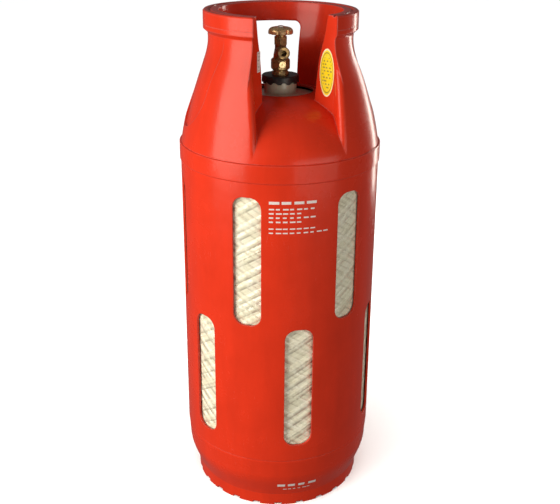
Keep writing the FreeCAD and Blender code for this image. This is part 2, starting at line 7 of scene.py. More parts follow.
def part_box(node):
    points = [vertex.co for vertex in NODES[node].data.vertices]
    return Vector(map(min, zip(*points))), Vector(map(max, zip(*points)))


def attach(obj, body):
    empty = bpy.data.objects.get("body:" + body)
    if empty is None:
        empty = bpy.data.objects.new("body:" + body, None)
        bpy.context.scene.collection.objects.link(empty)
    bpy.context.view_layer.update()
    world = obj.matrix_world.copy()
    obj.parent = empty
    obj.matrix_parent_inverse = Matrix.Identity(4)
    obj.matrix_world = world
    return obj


bl_info = {
    "name": "Wound Gas Tank",
    "version": (1, 0, 0),
    "blender": (4, 5, 0),
    "location": "View3D > Sidebar > Gas Tank",
    "description": "Finishes, print, windings and stage for a wound gas tank in a moulded casing",
    "category": "Object",
}

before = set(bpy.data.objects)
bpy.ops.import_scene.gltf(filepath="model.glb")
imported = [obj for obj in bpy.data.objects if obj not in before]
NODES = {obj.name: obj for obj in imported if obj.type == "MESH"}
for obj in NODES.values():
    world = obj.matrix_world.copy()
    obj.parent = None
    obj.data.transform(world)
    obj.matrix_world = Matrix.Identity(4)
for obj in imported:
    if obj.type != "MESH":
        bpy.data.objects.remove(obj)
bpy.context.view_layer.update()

# Places read from the frame, in metres
FOOT_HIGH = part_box("base_casing")[1]
MIDDLE_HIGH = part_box("body_casing")[1]
SHELL_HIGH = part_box("composite_vessel")[1]
OUTLET_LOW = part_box("valve_body")[0]
SHELL_RADIUS = SHELL_HIGH.x
SEAM_INSET = 0.0008
SEAM_RADIUS = FOOT_HIGH.x - SEAM_INSET
OVAL_LOW, OVAL_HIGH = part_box("oval_sticker")
STRIP_LOW, STRIP_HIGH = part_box("strip_sticker")
STICKER_ANGLE = math.radians(33.0)
TAPE_MARGIN = 0.01
PRINT_LEFT = -0.0515
PRINT_RADIUS = 0.168
PRINT_LIFT = 0.0003
FIRST_PRINT_SEED = 3

TURN = 2.0 * math.pi

# Stage: where the camera stands, how it is tilted, and its lens
CAMERA_PLACE = Vector((-0.302, -1.414, 1.027))
CAMERA_DIP = math.radians(20.27)
CAMERA_ROLL = math.radians(0.47)
SENSOR_WIDTH = 36.0
LENS_LENGTH = 56.3
LENS_SHIFT = (0.0015, -0.061)

# Stage: soft boxes by name, place, width, height and power, all aimed at one point
SOFT_BOXES = (
    ("key_box", (-1.95, -0.75, 0.95), 1.7, 2.1, 68.0),
    ("fill_box", (1.3, -2.4, 0.45), 2.6, 1.5, 33.0),
    ("rim_box", (1.5, 1.05, 0.7), 0.3, 1.5, 12.0),
)
BOX_COLOUR = (1.0, 0.94, 0.84)
BOX_TARGET = Vector((0.0, 0.0, 0.5))
FLOOR_RADIUS = 9.0
AIR_STRENGTH = 0.13
SUN_STRENGTH = 3.3
SUN_SPREAD = math.radians(70.0)


# ---------------------------------------------------------------- node helpers


class Graph:
    """Adds nodes to a shader or geometry tree and wires them in one call."""

    def __init__(self, tree):
        self.tree = tree
        self.count = 0

    def add(self, kind, inputs=None, **settings):
        """A new node: settings are its own properties, inputs are values or sockets."""
        node = self.tree.nodes.new(kind)
        node.location = (220 * (self.count % 8), -260 * (self.count // 8))
        self.count += 1
        for key, value in settings.items():
            setattr(node, key, value)
        for key, value in (inputs or {}).items():
            self.feed(node.inputs[key], value)
        return node

    def feed(self, socket, value):
        """Set a socket's value, or link another socket into it."""
        if isinstance(value, bpy.types.NodeSocket):
            self.tree.links.new(value, socket)
        else:
            socket.default_value = value

    def math(self, operation, *values):
        """Result of a Math node, in a shader or a geometry tree."""
        inputs = dict(enumerate(values))
        return self.add("ShaderNodeMath", inputs, operation=operation).outputs[0]

    def vector(self, operation, *values, out=0):
        """Result of a Vector Math node."""
        inputs = dict(enumerate(values))
        return self.add("ShaderNodeVectorMath", inputs, operation=operation).outputs[out]

    def join(self, x, y, z):
        """Vector from three numbers."""
        return self.add("ShaderNodeCombineXYZ", {"X": x, "Y": y, "Z": z}).outputs[0]

    def split(self, vector):
        """The three numbers of a vector."""
        return self.add("ShaderNodeSeparateXYZ", {0: vector}).outputs

    def mix(self, share, a, b):
        """Colour between two others."""
        inputs = {0: share, 6: a, 7: b}
        return self.add("ShaderNodeMix", inputs, data_type="RGBA").outputs[2]

    def chance(self, seed):
        """Random number from 0 to 1, one for each element."""
        node = self.add("FunctionNodeRandomValue", {"Seed": seed}, data_type="FLOAT")
        return next(socket for socket in node.outputs if socket.enabled)

    def noise(self, coordinates, scale, detail=3.0, roughness=0.55):
        """Noise that varies over the surface."""
        inputs = {"Vector": coordinates, "Scale": scale, "Detail": detail, "Roughness": roughness}
        return self.add("ShaderNodeTexNoise", inputs).outputs["Fac"]

    def spread(self, value, low, high, to_low=0.0, to_high=1.0):
        """Value remapped from one range to another, held at its ends."""
        inputs = {
            "Value": value, "From Min": low, "From Max": high, "To Min": to_low, "To Max": to_high,
        }
        return self.add("ShaderNodeMapRange", inputs, clamp=True).outputs[0]


def new_group(name, kind, inputs, outputs):
    """Node group with named sockets: its graph and its input node."""
    tree = bpy.data.node_groups.new(name, kind)
    for label, socket, default in inputs:
        made = tree.interface.new_socket(label, in_out="INPUT", socket_type=socket)
        if default is not None:
            made.default_value = default
    for label, socket in outputs:
        tree.interface.new_socket(label, in_out="OUTPUT", socket_type=socket)
    graph = Graph(tree)
    return graph, graph.add("NodeGroupInput").outputs


def close_group(graph, **results):
    """Wire the results of a group to its outputs."""
    end = graph.add("NodeGroupOutput")
    for label, socket in results.items():
        graph.feed(end.inputs[label.replace("_", " ")], socket)
    return graph.tree


def place_group(graph, tree, inputs=None, kind="ShaderNodeGroup"):
    """One use of a node group inside another tree: its outputs."""
    node = graph.add(kind)
    node.node_tree = tree
    for key, value in (inputs or {}).items():
        graph.feed(node.inputs[key], value)
    return node.outputs


# ---------------------------------------------------------------- shared shader groups


def round_group():
    """Unrolls a point round the tank's axis into arc length and height."""
    name = "Round the axis"
    if name in bpy.data.node_groups:
        return bpy.data.node_groups[name]
    graph, given = new_group(
        name, "ShaderNodeTree",
        [("Point", "NodeSocketVector", None), ("Radius", "NodeSocketFloat", 0.16)],
        [("Unrolled", "NodeSocketVector")],
    )
    x, y, z = graph.split(given["Point"])
    angle = graph.math("ARCTAN2", x, graph.math("MULTIPLY", y, -1.0))
    arc = graph.math("MULTIPLY", angle, given["Radius"])
    return close_group(graph, Unrolled=graph.join(arc, z, 0.0))


def wear_group():
    """Fine scratches, scuffs and dust, as a mask and a height."""
    name = "Handling wear"
    if name in bpy.data.node_groups:
        return bpy.data.node_groups[name]
    graph, given = new_group(
        name, "ShaderNodeTree",
        [("Point", "NodeSocketVector", None), ("Size", "NodeSocketFloat", 1.0),
         ("Amount", "NodeSocketFloat", 0.5)],
        [("Mask", "NodeSocketFloat"), ("Height", "NodeSocketFloat")],
    )
    point = graph.vector("SCALE", given["Point"])
    scale = point.node.inputs["Scale"]
    graph.feed(scale, given["Size"])
    bent = graph.vector("MULTIPLY", point, (60.0, 60.0, 7.0))
    streaks = graph.spread(graph.noise(bent, 6.0, 5.0, 0.7), 0.62, 0.72)
    crossed = graph.vector("MULTIPLY", point, (11.0, 14.0, 70.0))
    nicks = graph.spread(graph.noise(crossed, 7.0, 4.0, 0.6), 0.66, 0.74)
    patches = graph.spread(graph.noise(point, 9.0, 4.0), 0.45, 0.7)
    lines = graph.math("MAXIMUM", streaks, nicks)
    worn = graph.math("MULTIPLY", lines, patches)
    mask = graph.math("MULTIPLY", worn, given["Amount"])
    return close_group(graph, Mask=mask, Height=graph.math("SUBTRACT", 1.0, mask))


def edge_group():
    """Rounds sharp edges in the shading and marks where they are."""
    name = "Eased edges"
    if name in bpy.data.node_groups:
        return bpy.data.node_groups[name]
    graph, given = new_group(
        name, "ShaderNodeTree", [("Radius", "NodeSocketFloat", 0.001)],
        [("Normal", "NodeSocketVector"), ("Edge", "NodeSocketFloat")],
    )
    eased = graph.add("ShaderNodeBevel", {"Radius": given["Radius"]}, samples=6).outputs[0]
    true = graph.add("ShaderNodeNewGeometry").outputs["True Normal"]
    same = graph.vector("DOT_PRODUCT", eased, true, out="Value")
    edge = graph.spread(same, 0.995, 0.8)
    return close_group(graph, Normal=eased, Edge=edge)


def print_group():
    """Rows of short bars, like a block of print seen from far off."""
    name = "Print rows"
    if name in bpy.data.node_groups:
        return bpy.data.node_groups[name]
    graph, given = new_group(
        name, "ShaderNodeTree",
        [("Across", "NodeSocketFloat", 0.0), ("Up", "NodeSocketFloat", 0.0),
         ("Row", "NodeSocketFloat", 0.004), ("Word", "NodeSocketFloat", 0.005)],
        [("Ink", "NodeSocketFloat")],
    )
    row = graph.math("DIVIDE", given["Up"], given["Row"])
    line = graph.math("FLOOR", row)
    within = graph.math("FRACT", row)
    inked = graph.math("MULTIPLY", graph.math("GREATER_THAN", within, 0.3),
                       graph.math("LESS_THAN", within, 0.78))
    shift = graph.math("MULTIPLY", line, 0.37)
    word = graph.math("ADD", graph.math("DIVIDE", given["Across"], given["Word"]), shift)
    cell = graph.join(graph.math("FLOOR", word), line, 0.0)
    chance = graph.add("ShaderNodeTexWhiteNoise", {"Vector": cell}).outputs["Value"]
    end = graph.math("ADD", graph.math("MULTIPLY", chance, 0.5), 0.35)
    filled = graph.math("LESS_THAN", graph.math("FRACT", word), end)
    kept = graph.math("GREATER_THAN", chance, 0.18)
    return close_group(graph, Ink=graph.math("MULTIPLY", graph.math("MULTIPLY", inked, filled), kept))


# ---------------------------------------------------------------- materials


def start_material(name, **plain):
    """New material: its graph, its shader and the object's own coordinates."""
    material = bpy.data.materials.new(name)
    material.use_nodes = True
    material.node_tree.nodes.clear()
    graph = Graph(material.node_tree)
    shader = graph.add("ShaderNodeBsdfPrincipled")
    for label, value in plain.items():
        shader.inputs[label.replace("_", " ")].default_value = value
    end = graph.add("ShaderNodeOutputMaterial")
    graph.feed(end.inputs["Surface"], shader.outputs[0])
    return material, graph, shader, graph.add("ShaderNodeTexCoord").outputs["Object"]


def finish_surface(graph, shader, height, depth, strength, radius):
    """Bump from a height on top of eased edges: the edge mask."""
    eased = place_group(graph, edge_group(), {"Radius": radius})
    bump = graph.add("ShaderNodeBump", {
        "Height": height, "Distance": depth, "Strength": strength, "Normal": eased["Normal"],
    })
    graph.feed(shader.inputs["Normal"], bump.outputs[0])
    return eased["Edge"]


def moulded_plastic(name, colour, edge_radius, deep=0.86):
    """Glossy blow-moulded plastic: clouded colour, soft waves, and eased edges paled in patches, partly
    rubbing and partly painted highlight where the rims catch the light.
    """
    material, graph, shader, point = start_material(
        name, IOR=1.5, Coat_Roughness=0.08, Specular_IOR_Level=0.2,
    )
    wear = place_group(graph, wear_group(), {"Point": point, "Size": 1.3, "Amount": 0.55})
    unrolled = place_group(graph, round_group(), {"Point": point})["Unrolled"]
    flow = graph.noise(graph.vector("MULTIPLY", unrolled, (26.0, 5.0, 1.0)), 1.4, 4.0)
    cloud = graph.noise(point, 11.0, 4.0, 0.6)
    tone = graph.math("ADD", graph.math("MULTIPLY", flow, 0.5), graph.math("MULTIPLY", cloud, 0.5))
    dark = tuple(part * deep for part in colour[:3]) + (1.0,)
    body = graph.mix(graph.spread(tone, 0.36, 0.64), dark, colour)
    ripple = graph.noise(point, 16.0, 2.0)
    peel = graph.noise(point, 420.0, 2.0)
    height = graph.math("ADD", graph.math("MULTIPLY", ripple, 1.0), graph.math("MULTIPLY", peel, 0.035))
    height = graph.math("ADD", height, graph.math("MULTIPLY", wear["Height"], 0.03))
    edge = finish_surface(graph, shader, height, 0.0022, 0.32, edge_radius)
    # Painted highlight with some rubbing: the eased edges turn paler in patches, standing in for rims that
    # catch the light.
    rubbed = graph.math("MULTIPLY", edge, graph.spread(graph.noise(point, 60.0), 0.3, 0.6, 0.25, 0.6))
    pale = tuple(0.45 + 0.55 * part for part in colour[:3]) + (1.0,)
    body = graph.mix(graph.math("MULTIPLY", rubbed, 0.35), body, pale)
    body = graph.mix(graph.math("MULTIPLY", wear["Mask"], 0.22), body, pale)
    graph.feed(shader.inputs["Base Color"], body)
    rough = graph.spread(cloud, 0.3, 0.7, 0.2, 0.3)
    rough = graph.math("ADD", rough, graph.math("MULTIPLY", wear["Mask"], 0.22))
    graph.feed(shader.inputs["Roughness"], rough)
    graph.feed(shader.inputs["Coat Weight"], graph.spread(tone, 0.3, 0.7, 0.16, 0.06))
    return material


def wound_resin(name, colour, streak, angle):
    """Glass fibre wound in resin: crossed diagonal tows under a clear skin, darker and browner towards the
    neck as painted shade and a painted warm reflection from the casing.
    """
    material, graph, shader, point = start_material(
        name, IOR=1.52, Coat_Roughness=0.05, Specular_IOR_Level=0.45,
    )
    unrolled = place_group(graph, round_group(), {"Point": point, "Radius": SHELL_RADIUS})["Unrolled"]
    ways = []
    for turn in (-angle, angle):
        tilt = graph.add("ShaderNodeVectorRotate", {"Vector": unrolled, "Angle": turn},
                         rotation_type="Z_AXIS").outputs[0]
        drawn = graph.vector("MULTIPLY", tilt, (9.0, 330.0, 1.0))
        ways.append(graph.noise(drawn, 1.0, 5.0, 0.62))
    broad = graph.noise(unrolled, 38.0, 3.0)
    laid = graph.math("ADD", graph.math("MULTIPLY", ways[0], 0.68), graph.math("MULTIPLY", ways[1], 0.32))
    fibre = graph.spread(laid, 0.38, 0.62)
    tinted = graph.mix(fibre, streak, colour)
    milky = tuple(0.35 + 0.65 * part for part in colour[:3]) + (1.0,)
    tinted = graph.mix(graph.spread(broad, 0.42, 0.72, 0.0, 0.55), tinted, milky)
    # Painted shade and painted warm reflection from the red casing: the resin turns darker and browner
    # towards the neck, where the casing shades it.
    painted_neck_shade = tuple(part * 0.4 for part in streak[:3]) + (1.0,)
    neck_shade_share = graph.spread(graph.split(point)[2], 0.65, 0.7, 0.0, 0.6)
    tinted = graph.mix(neck_shade_share, tinted, painted_neck_shade)
    graph.feed(shader.inputs["Base Color"], tinted)
    graph.feed(shader.inputs["Roughness"], graph.spread(laid, 0.3, 0.7, 0.42, 0.28))
    graph.feed(shader.inputs["Coat Weight"], graph.spread(broad, 0.3, 0.7, 0.25, 0.6))
    finish_surface(graph, shader, laid, 0.0003, 0.3, 0.0002)
    return material


def cast_metal(name, colour, patina, grain, rough, radius, amount=0.8):
    """Forged or cast brass: patina in patches, sand grain and brighter rubbed edges."""
    material, graph, shader, point = start_material(name, IOR=1.45)
    wear = place_group(graph, wear_group(), {"Point": point, "Size": 8.0, "Amount": 0.9})
    patches = graph.noise(point, 130.0, 6.0, 0.65)
    sand = graph.noise(point, 1500.0 * grain, 3.0)
    height = graph.math("ADD", graph.math("MULTIPLY", sand, 0.5), patches)
    edge = finish_surface(graph, shader, height, 0.0003, 0.7, radius)
    dirty = graph.spread(patches, 0.4, 0.62, 0.0, amount)
    body = graph.mix(dirty, colour, patina)
    bright = tuple(min(1.0, part * 1.45 + 0.06) for part in colour[:3]) + (1.0,)
    worn_edge = graph.math("MULTIPLY", edge, 0.75)
    rubbed = graph.math("MAXIMUM", worn_edge, graph.math("MULTIPLY", wear["Mask"], 0.6))
    graph.feed(shader.inputs["Base Color"], graph.mix(rubbed, body, bright))
    graph.feed(shader.inputs["Metallic"], graph.spread(dirty, 0.0, 1.0, 0.6, 0.3))
    graph.feed(shader.inputs["Roughness"], graph.spread(patches, 0.35, 0.65, rough - 0.08, rough + 0.14))
    return material


def turned_metal(name, colour, axis, rough):
    """Machined metal with fine turning rings round an axis."""
    material, graph, shader, point = start_material(name, IOR=1.45)
    weights = tuple(0.0 if i == axis else 1.0 for i in range(3))
    flat = graph.vector("MULTIPLY", graph.vector("SUBTRACT", point, (0.0, 0.0, OUTLET_LOW.z)), weights)
    away = graph.vector("LENGTH", flat, out="Value")
    along = graph.split(point)[axis]
    rings = graph.noise(graph.join(graph.math("MULTIPLY", away, 4200.0),
                                   graph.math("MULTIPLY", along, 4200.0), 0.0), 1.0, 2.0)
    stains = graph.noise(point, 260.0, 4.0)
    edge = finish_surface(graph, shader, rings, 0.00005, 0.35, 0.0003)
    dark = tuple(part * 0.55 for part in colour[:3]) + (1.0,)
    body = graph.mix(graph.spread(stains, 0.45, 0.7, 0.0, 0.6), colour, dark)
    white = tuple(min(1.0, part * 1.2 + 0.1) for part in colour[:3]) + (1.0,)
    graph.feed(shader.inputs["Base Color"], graph.mix(graph.math("MULTIPLY", edge, 0.5), body, white))
    graph.feed(shader.inputs["Metallic"], graph.spread(stains, 0.4, 0.8, 1.0, 0.9))
    graph.feed(shader.inputs["Roughness"], graph.spread(rings, 0.3, 0.7, rough, rough + 0.12))
    return material


def satin_plastic(name, colour, rough, grain, radius=0.0006):
    """Satin plastic or rubber with a fine moulded grain and dust."""
    material, graph, shader, point = start_material(name, IOR=1.5, Specular_IOR_Level=0.4)
    wear = place_group(graph, wear_group(), {"Point": point, "Size": 4.0, "Amount": 0.8})
    skin = graph.noise(point, grain, 4.0, 0.6)
    dust = graph.spread(graph.noise(point, 90.0, 5.0, 0.7), 0.5, 0.8, 0.0, 0.3)
    edge = finish_surface(graph, shader, skin, 0.00015, 0.5, radius)
    pale = tuple(0.25 + 0.75 * part for part in colour[:3]) + (1.0,)
    share = graph.math("MAXIMUM", graph.math("MULTIPLY", edge, 0.22), dust)
    share = graph.math("MAXIMUM", share, graph.math("MULTIPLY", wear["Mask"], 0.35))
    graph.feed(shader.inputs["Base Color"], graph.mix(graph.math("MULTIPLY", share, 0.5), colour, pale))
    graph.feed(shader.inputs["Roughness"], graph.spread(skin, 0.3, 0.7, rough, rough + 0.16))
    return material


def sticker_film(name, colour, ink, side, low, high, oval):
    """Printed film on a cut face: a pale rim round rows of plain bars."""
    material, graph, shader, point = start_material(
        name, IOR=1.48, Coat_Roughness=0.1, Specular_IOR_Level=0.25,
    )
    centre = (low + high) / 2.0
    out = Vector((side * math.sin(STICKER_ANGLE), -math.cos(STICKER_ANGLE), 0.0))
    middle = Vector((centre.x, centre.y, 0.0)).dot(out)
    across = graph.vector("DOT_PRODUCT", point, tuple(out), out="Value")
    across = graph.math("SUBTRACT", across, middle)
    up = graph.math("SUBTRACT", graph.split(point)[2], centre.z)
    half_w = (high.xy - low.xy).length / 2.0
    half_h = (high.z - low.z) / 2.0
    x = graph.math("DIVIDE", across, half_w)
    y = graph.math("DIVIDE", up, half_h)
    if oval:
        squares = graph.math("ADD", graph.math("MULTIPLY", x, x), graph.math("MULTIPLY", y, y))
        reach = graph.math("SQRT", squares)
    else:
        reach = graph.math("MAXIMUM", graph.math("ABSOLUTE", x), graph.math("ABSOLUTE", y))
    rows = {"Across": across, "Up": up, "Row": 0.0052, "Word": 0.0065}
    printed = place_group(graph, print_group(), rows)["Ink"]
    printed = graph.math("MULTIPLY", printed, graph.math("LESS_THAN", reach, 0.7))
    inner = graph.math("GREATER_THAN", reach, 0.8)
    line = graph.math("MULTIPLY", inner, graph.math("LESS_THAN", reach, 0.86))
    mark = graph.math("MAXIMUM", printed, line)
    fade = graph.noise(point, 240.0, 4.0)
    pale = tuple(0.55 + 0.45 * part for part in colour[:3]) + (1.0,)
    film = graph.mix(graph.spread(fade, 0.4, 0.7, 0.0, 0.12), colour, pale)
    film = graph.mix(graph.math("GREATER_THAN", reach, 0.93), film, pale)
    graph.feed(shader.inputs["Base Color"], graph.mix(graph.math("MULTIPLY", mark, 0.6), film, ink))
    graph.feed(shader.inputs["Roughness"], graph.spread(fade, 0.3, 0.7, 0.28, 0.42))
    graph.feed(shader.inputs["Coat Weight"], graph.spread(fade, 0.3, 0.7, 0.25, 0.12))
    finish_surface(graph, shader, graph.noise(point, 90.0, 3.0), 0.0004, 0.3, 0.0002)
    return material


def printed_ink(name, colour):
    """Screen-printed ink, a little thin in places."""
    material, graph, shader, point = start_material(name, IOR=1.5)
    thin = graph.noise(point, 700.0, 4.0, 0.7)
    worn = tuple(part * 0.78 for part in colour[:3]) + (1.0,)
    graph.feed(shader.inputs["Base Color"], graph.mix(graph.spread(thin, 0.45, 0.75), colour, worn))
    graph.feed(shader.inputs["Roughness"], graph.spread(thin, 0.3, 0.7, 0.35, 0.5))
    bump = graph.add("ShaderNodeBump", {"Height": thin, "Distance": 0.0001, "Strength": 0.3})
    graph.feed(shader.inputs["Normal"], bump.outputs[0])
    return material


def stage_paper(name, colour):
    """Plain matt studio paper."""
    material, graph, shader, point = start_material(name, Roughness=0.9, Specular_IOR_Level=0.1)
    weave = graph.noise(point, 30.0, 3.0)
    off = tuple(part * 0.985 for part in colour[:3]) + (1.0,)
    graph.feed(shader.inputs["Base Color"], graph.mix(weave, colour, off))
    return material


def dress(node, material):
    """Give a CAD node its finish."""
    mesh = NODES[node].data
    mesh.materials.clear()
    mesh.materials.append(material)


# ---------------------------------------------------------------- geometry node trees


def tape_layer_tree():
    """One layer of tapes that climb round a cylinder at a steady twist."""
    name = "Tape layer"
    if name in bpy.data.node_groups:
        return bpy.data.node_groups[name]
    graph, given = new_group(
        name, "GeometryNodeTree",
        [("Radius", "NodeSocketFloat", 0.162), ("Low", "NodeSocketFloat", 0.1),
         ("High", "NodeSocketFloat", 0.64), ("Twist", "NodeSocketFloat", 6.0),
         ("Tapes", "NodeSocketInt", 60), ("Width", "NodeSocketFloat", 0.004),
         ("Thickness", "NodeSocketFloat", 0.0006), ("Stagger", "NodeSocketFloat", 0.0001),
         ("Steps", "NodeSocketInt", 100),
         ("Seed", "NodeSocketInt", 1)],
        [("Geometry", "NodeSocketGeometry")],
    )
    line = graph.add("GeometryNodeCurvePrimitiveLine", {
        "Start": graph.join(0.0, 0.0, given["Low"]), "End": graph.join(0.0, 0.0, given["High"]),
    }).outputs[0]
    path = graph.add("GeometryNodeResampleCurve", {"Curve": line, "Count": given["Steps"]}).outputs[0]
    height = graph.split(graph.add("GeometryNodeInputPosition").outputs[0])[2]
    angle = graph.math("MULTIPLY", height, given["Twist"])
    outward = graph.join(graph.math("COSINE", angle), graph.math("SINE", angle), 0.0)
    reach = graph.vector("SCALE", outward)
    graph.feed(reach.node.inputs["Scale"], given["Radius"])
    place = graph.vector("ADD", reach, graph.join(0.0, 0.0, height))
    spiral = graph.add("GeometryNodeSetPosition", {"Geometry": path, "Position": place}).outputs[0]
    turned = graph.add(
        "GeometryNodeSetCurveNormal", {"Curve": spiral, "Normal": outward}, mode="FREE",
    ).outputs[0]
    section = graph.add("GeometryNodeCurvePrimitiveQuadrilateral", {
        "Width": given["Thickness"], "Height": given["Width"],
    }).outputs[0]
    tape = graph.add("GeometryNodeCurveToMesh", {
        "Curve": turned, "Profile Curve": section, "Fill Caps": True,
    }).outputs[0]
    starts = graph.add("GeometryNodePoints", {"Count": given["Tapes"]}).outputs[0]
    share = graph.math("DIVIDE", TURN, given["Tapes"])
    chance = graph.chance(given["Seed"])
    place_in_row = graph.math("ADD", graph.add("GeometryNodeInputIndex").outputs[0], chance)
    turn = graph.math("MULTIPLY", place_in_row, share)
    stagger = graph.chance(graph.math("ADD", given["Seed"], 50.0))
    proud = graph.math("DIVIDE", graph.math("MULTIPLY", stagger, given["Stagger"]), given["Radius"])
    swell = graph.math("ADD", proud, 1.0)
    spread = graph.add("GeometryNodeInstanceOnPoints", {
        "Points": starts, "Instance": tape, "Rotation": graph.join(0.0, 0.0, turn),
        "Scale": graph.join(swell, swell, 1.0),
    }).outputs[0]
    return close_group(graph, Geometry=spread)


def windings_tree():
    """Two crossed layers of tape round the vessel's straight part."""
    graph, given = new_group(
        "Vessel windings", "GeometryNodeTree",
        [("Radius", "NodeSocketFloat", 0.162), ("Low", "NodeSocketFloat", 0.1),
         ("High", "NodeSocketFloat", 0.64), ("Twist", "NodeSocketFloat", 6.0),
         ("Tapes", "NodeSocketInt", 60), ("Width", "NodeSocketFloat", 0.004),
         ("Thickness", "NodeSocketFloat", 0.0006), ("Stagger", "NodeSocketFloat", 0.0001),
         ("Material", "NodeSocketMaterial", None)],
        [("Geometry", "NodeSocketGeometry")],
    )
    shared = {key: given[key] for key in ("Low", "High", "Tapes", "Width", "Thickness", "Stagger")}
    layers = graph.add("GeometryNodeJoinGeometry")
    sunk = graph.math("SUBTRACT", given["Radius"], graph.math("MULTIPLY", given["Thickness"], 0.5))
    for sign, lift in ((-1.0, 0.3), (1.0, 1.1)):
        radius = graph.math("ADD", sunk, graph.math("MULTIPLY", given["Stagger"], lift))
        twist = graph.math("MULTIPLY", given["Twist"], sign)
        inputs = dict(shared, Radius=radius, Twist=twist, Seed=7 if sign > 0 else 8)
        layer = place_group(graph, tape_layer_tree(), inputs, "GeometryNodeGroup")
        graph.feed(layers.inputs[0], layer[0])
    return end_tree(graph, layers.outputs[0], given["Material"])


def end_tree(graph, geometry, material):
    """Realize, set the material and close a tree."""
    real = graph.add("GeometryNodeRealizeInstances", {"Geometry": geometry}).outputs[0]
    done = graph.add("GeometryNodeSetMaterial", {"Geometry": real, "Material": material}).outputs[0]
    return close_group(graph, Geometry=done)


def bead_tree():
    """Bead of welded plastic that runs round the casing with small lumps."""
    graph, given = new_group(
        "Weld bead", "GeometryNodeTree",
        [("Radius", "NodeSocketFloat", 0.167), ("Height", "NodeSocketFloat", 0.104),
         ("Bead", "NodeSocketFloat", 0.0007), ("Lumps", "NodeSocketFloat", 0.0002),
         ("Material", "NodeSocketMaterial", None)],
        [("Geometry", "NodeSocketGeometry")],
    )
    ring = graph.add("GeometryNodeCurvePrimitiveCircle", {
        "Resolution": 360, "Radius": given["Radius"],
    }).outputs[0]
    here = graph.add("GeometryNodeInputPosition").outputs[0]
    lump = graph.math("SUBTRACT", graph.noise(here, 45.0, 3.0), 0.5)
    wander = graph.math("MULTIPLY", lump, given["Lumps"])
    offset = graph.join(0.0, 0.0, graph.math("ADD", given["Height"], wander))
    laid = graph.add("GeometryNodeSetPosition", {"Geometry": ring, "Offset": offset}).outputs[0]
    section = graph.add("GeometryNodeCurvePrimitiveCircle", {
        "Resolution": 10, "Radius": given["Bead"],
    }).outputs[0]
    bead = graph.add("GeometryNodeCurveToMesh", {"Curve": laid, "Profile Curve": section}).outputs[0]
    smooth = graph.add("GeometryNodeSetShadeSmooth", {"Geometry": bead}).outputs[0]
    return end_tree(graph, smooth, given["Material"])


